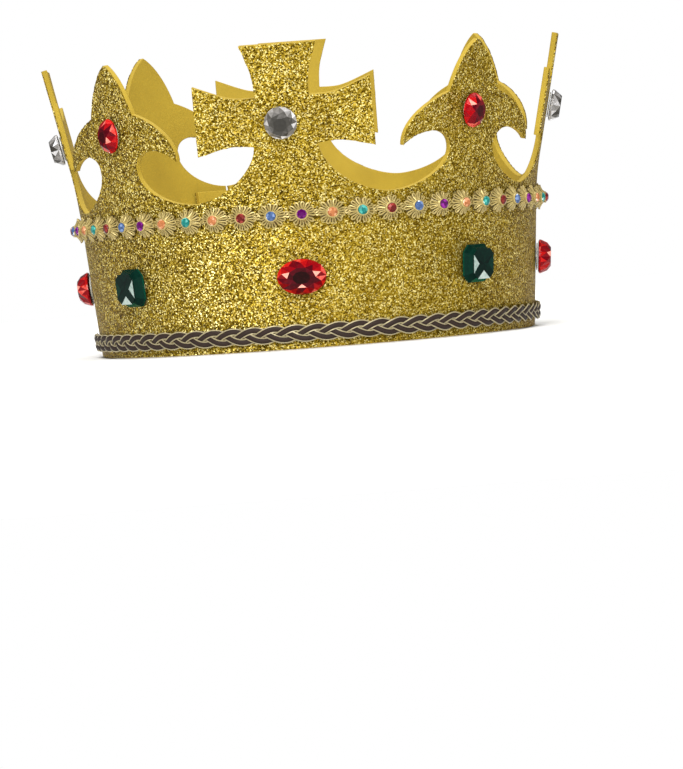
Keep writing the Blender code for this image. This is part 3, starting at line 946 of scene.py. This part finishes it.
# Colours for the painted facet tones, from dark painted reflection up to the pale colour of a painted
# glint
stoneLooks = {
    "clear": ((0.0, (0.012, 0.011, 0.009)), (0.35, (0.045, 0.042, 0.036)), (0.6, (0.21, 0.20, 0.19)),
              (0.8, (0.46, 0.45, 0.45)), (1.0, (0.95, 0.95, 0.98))),
    "red": ((0.0, (0.010, 0.001, 0.001)), (0.3, (0.075, 0.002, 0.006)), (0.55, (0.24, 0.002, 0.005)),
            (0.8, (0.55, 0.010, 0.008)), (1.0, (0.90, 0.34, 0.26))),
    "green": ((0.0, (0.001, 0.005, 0.004)), (0.3, (0.002, 0.020, 0.013)),
              (0.6, (0.003, 0.085, 0.045)), (0.85, (0.12, 0.21, 0.18)), (1.0, (0.48, 0.54, 0.50))),
}
stoneSkins = {
    "crystal": stoneMaterial("clearStone", stoneLooks["clear"], 0.14),
    "ruby": stoneMaterial("redStone", stoneLooks["red"], 0.06),
    "emerald": stoneMaterial("greenStone", stoneLooks["green"], 0.03),
}
stoneSkins["red_oval"] = stoneSkins["ruby"]


# Painted reflection: how bright each row of facets is painted, from 0 to 1
brilliantPaintedLight = {
    "back": 0.2,
    "underGirdle": 0.45,
    "girdle": (0.5, 0.85),
    "rim": (0.48, 0.86),
    "main": (0.26, 0.66),
    "star": (0.20, 0.50),
    "tableEdge": (0.10, 0.30),  # the last two are above the middle of the table
    "tableMiddle": (0.06, 0.26),
    "dark": {"crystal": 0.18, "red_oval": 0.0, "ruby": 0.10},  # the middle of the table, painted dark as a painted reflection
}


def brilliantStone(size, dark, draw):
    # a flat back, a thin girdle, and eight or ten main facets up to the table
    width, length, height, table = size
    count = 10 if width > length else 8
    meshData = bmesh.new()
    paintedLight = meshData.faces.layers.float.new("facetPaintedLight")

    def ringOf(corners, share, z, turned=0.0):
        return [meshData.verts.new((width / 2 * share * cos(2 * pi * (i + turned) / corners),
                                    length / 2 * share * sin(2 * pi * (i + turned) / corners), z))
                for i in range(corners)]

    def facet(corners, tone):
        face = meshData.faces.new(corners)
        face[paintedLight] = tone

    # each facet's tone is painted reflection, pale towards the rim and dark over the table
    bright = brilliantPaintedLight
    girdle = stones["girdle"]
    back = ringOf(2 * count, 0.90, 0.0)
    low = ringOf(2 * count, 1.0, 0.4 * girdle)
    edge = ringOf(2 * count, 1.0, 1.4 * girdle)
    middle = ringOf(count, 0.83, 0.70 * height, 0.5)
    top = ringOf(count, table, height)
    inner = ringOf(count, 0.62 * table, height, 0.5)
    facet(back[::-1], bright["back"])
    for i in range(2 * count):
        j = (i + 1) % (2 * count)
        facet([back[i], back[j], low[j], low[i]], bright["underGirdle"])
        facet([low[i], low[j], edge[j], edge[i]], draw.uniform(*bright["girdle"]))
    for i in range(count):
        j = (i + 1) % count
        facet([middle[i], edge[2 * i], edge[2 * i + 1]], draw.uniform(*bright["rim"]))
        facet([middle[i], edge[2 * i + 1], edge[2 * j]], draw.uniform(*bright["rim"]))
        facet([edge[2 * j], middle[j], top[j]], draw.uniform(*bright["main"]))
        facet([edge[2 * j], top[j], middle[i]], draw.uniform(*bright["main"]))
        facet([top[i], middle[i], top[j]], draw.uniform(*bright["star"]))
        least, most = bright["tableEdge"]
        facet([top[i], top[j], inner[i]], draw.uniform(dark + least, dark + most))
        least, most = bright["tableMiddle"]
        facet([inner[i], top[j], inner[j]], draw.uniform(dark + least, dark + most))
    facet(inner, dark)
    return meshData, paintedLight


def addPaintedGlint(meshData, paintedLight, width, length, place, tone):
    # the facet nearest to this place, given as shares of half the size, gets a painted glint
    goal = Vector((place[0] * width / 2, place[1] * length / 2, 0))
    faces = [f for f in meshData.faces if f.normal.z > 0.15 or f.normal.z == 0]
    nearest = min(faces, key=lambda f: (f.calc_center_median().xy.to_3d() - goal).length)
    nearest[paintedLight] = tone


# Painted reflection on the green stones: each bevel and fan gets a painted tone, the brightest fans
# painted glints
# Sides run from the top right corner over the top to the left, and on round
emeraldPaintedLight = {
    "bevels": (0.22, 0.24, 0.45, 0.76, 0.48, 0.52, 0.20, 0.26),
    "rows": (-0.1, 0.15, 0.0, 0.0, -0.06),  # added to the bevels, row by row from the back
    "fans": (0.10, 0.14, 0.12, 0.30, 0.10, 0.95, 0.12, 0.92),
    "betweenFans": (0.03, 0.16),
    "uneven": 0.05,
    "back": 0.2,
    "reach": 0.55,  # how far the fans of the four long sides reach to the middle
    "mirrored": (2, 1, 0, 7, 6, 5, 4, 3),
}


def stepStone(size, mirrored, draw):
    width, length, height, table = size
    cut = stones["corner"] * width
    half = [(width / 2, length / 2 - cut), (width / 2 - cut, length / 2),
            (cut - width / 2, length / 2), (-width / 2, length / 2 - cut)]
    shape = half + [(-x, -y) for x, y in half]
    meshData = bmesh.new()
    paintedLight = meshData.faces.layers.float.new("facetPaintedLight")
    girdle = stones["girdle"]
    levels = ((0.90, 0.0), (1.0, 0.4 * girdle), (1.0, 1.4 * girdle), (0.86, 0.55 * height),
              (0.73, 0.83 * height), (table, height))
    rings = [[meshData.verts.new((x * share, y * share, z)) for x, y in shape] for share, z in levels]
    look = emeraldPaintedLight
    bevels, fans = look["bevels"], look["fans"]
    if mirrored:
        bevels, fans = [bevels[i] for i in look["mirrored"]], [fans[i] for i in look["mirrored"]]
    for level, row in enumerate(look["rows"]):
        one, two = rings[level], rings[level + 1]
        for i in range(8):
            j = (i + 1) % 8
            face = meshData.faces.new([one[i], one[j], two[j], two[i]])
            face[paintedLight] = max(0.0, bevels[i] + row + draw.uniform(-look["uneven"], look["uneven"]))
    meshData.faces.new(rings[0][::-1])[paintedLight] = look["back"]
    top = rings[-1]
    centre = meshData.verts.new((0, 0, height))
    for i in range(8):
        j = (i + 1) % 8
        if i % 2:
            middle = (top[i].co + top[j].co) / 2
            tip = meshData.verts.new(middle.lerp(centre.co, look["reach"]))
            meshData.faces.new([top[i], top[j], tip])[paintedLight] = fans[i]
            meshData.faces.new([top[i], tip, centre])[paintedLight] = draw.uniform(*look["betweenFans"])
            meshData.faces.new([tip, top[j], centre])[paintedLight] = draw.uniform(*look["betweenFans"])
        else:
            meshData.faces.new([top[i], top[j], centre])[paintedLight] = fans[i]
    return meshData, paintedLight


sides = ("front", "front_right", "right", "back_right", "back", "back_left", "left", "front_left")
paintedStoneGlints = {  # (place, tone) of each painted glint
    "crystal": (((-0.55, 0.75), 1.0), ((0.72, 0.45), 0.95), ((-0.2, -0.85), 0.95),
                ((-0.85, 0.1), 0.8), ((0.1, -0.78), 0.9), ((0.85, -0.1), 0.85)),
    "red_oval": (((-0.66, 0.10), 1.0), ((0.62, 0.20), 0.97), ((-0.05, -0.55), 1.0),
                 ((0.75, -0.05), 0.85), ((-0.1, 0.85), 0.82), ((0.5, -0.7), 0.84)),
    "ruby": (((-0.45, 0.45), 0.97), ((0.5, -0.3), 0.92), ((0.1, 0.8), 0.85), ((-0.2, -0.8), 0.85)),
    "emerald": (),
}


def setStone(kind, side, middle, along, s, seed):
    size = stones[kind]
    draw = random.Random(seed)
    if kind == "emerald":
        meshData, paintedLight = stepStone(size, side.endswith("right"), draw)
    else:
        meshData, paintedLight = brilliantStone(size, brilliantPaintedLight["dark"][kind], draw)
    bmesh.ops.recalc_face_normals(meshData, faces=meshData.faces)
    meshData.normal_update()
    # painted glints on the chosen facets
    for place, tone in paintedStoneGlints[kind]:
        addPaintedGlint(meshData, paintedLight, size[0], size[1], place, tone)
    x = alongRim(middle, along, s)
    seat = seatAt(x, s, trimBack + stones["pad"] + sheetSizes["gap"])
    bmesh.ops.transform(meshData, matrix=seat, verts=meshData.verts)
    nodeName = kind + "_" + side
    first, *others = nodeName.split("_")
    pieceName = first + "".join(word.capitalize() for word in others)
    piece = newPiece(pieceName, meshData, [stoneSkins[kind]])
    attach(piece, "root")
    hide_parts(nodeName)


for k, side in enumerate(sides):
    along, rise, lowAlong = stones["shifts"][k]
    upper, lower = ("ruby", "emerald") if k % 2 else ("crystal", "red_oval")
    height = stones["fleurHeight"] if k % 2 else stones["crossHeight"]
    setStone(upper, side, pointMiddle(k), along, height + rise, stones["upperSeed"] + k)
    setStone(lower, side, pointMiddle(k), lowAlong, stones["bandHeight"], stones["lowerSeed"] + k)
print("Large stones set")

for name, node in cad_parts.items():
    if name.endswith("_glue"):
        for slot in node.material_slots:
            slot.material = skins["glue"]

# Studio
studio = {
    "floorRadii": (0.3, 0.6, 0.95),
    "floorSides": 96,
    "floorDrop": 0.0002,
    "floorColour": (0.90, 0.90, 0.89),
    "floorMottle": 0.985,
    "worldColour": (1.0, 1.0, 1.0),
    "worldStrength": 0.32,
    # power, size, place
    "keyLight": (55, 1.2, (-0.15, -1.9, 1.25)),
    "fillLight": (5, 0.8, (0.9, -1.2, 0.7)),
    "overheadLight": (80, 3.0, (0, 0.4, 2.6)),
    "lightsAim": (0, 0, 0.06),
}
view = {
    "distance": 1.65,
    "down": 1.50,  # degrees, as roll and turn are
    "roll": -4.23,
    "turn": -3.73,
    "aimRight": 0.0089,
    "aimUp": -0.0167,
    "lens": 201.25,
}


def makeFloor():
    meshData = bmesh.new()
    sides = studio["floorSides"]
    turns = [2 * pi * i / sides for i in range(sides)]
    rings = [[meshData.verts.new((radius * cos(turn), radius * sin(turn), 0)) for turn in turns]
             for radius in studio["floorRadii"]]
    meshData.faces.new(rings[0])
    for one, two in zip(rings, rings[1:]):
        for i in range(sides):
            j = (i + 1) % sides
            meshData.faces.new([one[i], two[i], two[j], one[j]])
    made, tree, shader = newMaterial("paleFloor", 0.75)
    grain = addNode(tree, "TexNoise", (-600, 0))
    grain.inputs["Scale"].default_value = 14
    pale = studio["floorColour"]
    mottled = tuple(studio["floorMottle"] * v for v in pale)
    addColours(tree, shader, grain.outputs["Fac"], ((0.3, mottled), (0.7, pale)), (-300, 0))
    floor = newPiece("studioFloor", meshData, [made])
    floor.location.z = -studio["floorDrop"]


def makeLight(name):
    power, size, place = studio[name]
    lamp = bpy.data.lights.new(name, "AREA")
    lamp.shape = "DISK"
    lamp.energy = power
    lamp.size = size
    holder = bpy.data.objects.new(name, lamp)
    holder.location = place
    ahead = Vector(studio["lightsAim"]) - Vector(place)
    holder.rotation_euler = ahead.to_track_quat("-Z", "Y").to_euler()
    bpy.context.scene.collection.objects.link(holder)


def makeWorld():
    world = bpy.data.worlds.new("studioWorld")
    world.use_nodes = True
    tree = world.node_tree
    back = tree.nodes["Background"]
    back.inputs["Color"].default_value = (*studio["worldColour"], 1)
    back.inputs["Strength"].default_value = studio["worldStrength"]
    # the paper behind the crown looks brighter than the light that it gives
    plain = tree.nodes.new("ShaderNodeBackground")
    plain.inputs["Color"].default_value = (*studio["worldColour"], 1)
    rays = tree.nodes.new("ShaderNodeLightPath")
    chosen = tree.nodes.new("ShaderNodeMixShader")
    tree.links.new(rays.outputs["Is Camera Ray"], chosen.inputs["Fac"])
    tree.links.new(back.outputs[0], chosen.inputs[1])
    tree.links.new(plain.outputs[0], chosen.inputs[2])
    tree.links.new(chosen.outputs[0], tree.nodes["World Output"].inputs["Surface"])
    bpy.context.scene.world = world


def makeCamera():
    down, roll, turn = (radians(view[k]) for k in ("down", "roll", "turn"))
    turned = Matrix(((cos(turn), -sin(turn), 0), (sin(turn), cos(turn), 0), (0, 0, 1)))
    tipped = Matrix(((1, 0, 0), (0, cos(down), -sin(down)), (0, sin(down), cos(down))))
    rolled = Matrix(((cos(roll), 0, sin(roll)), (0, 1, 0), (-sin(roll), 0, cos(roll))))
    back = (rolled @ tipped @ turned).transposed()
    place = back @ Vector((0, -view["distance"], 0))
    aim = back @ Vector((view["aimRight"], 0, view["aimUp"]))
    ahead = (aim - place).normalized()
    right = ahead.cross(back @ Vector((0, 0, 1))).normalized()
    axes = Matrix((right, right.cross(ahead), -ahead)).transposed().to_4x4()
    data = bpy.data.cameras.new("studioCamera")
    data.lens = view["lens"]
    data.sensor_width = 36
    data.sensor_fit = "AUTO"
    data.clip_start, data.clip_end = 0.05, 50
    camera = bpy.data.objects.new("studioCamera", data)
    camera.matrix_world = Matrix.Translation(place) @ axes
    bpy.context.scene.collection.objects.link(camera)
    bpy.context.scene.camera = camera


makeFloor()
for name in ("keyLight", "fillLight", "overheadLight"):
    makeLight(name)
makeWorld()
makeCamera()
bpy.context.scene.view_settings.view_transform = "Standard"
print("Studio ready")
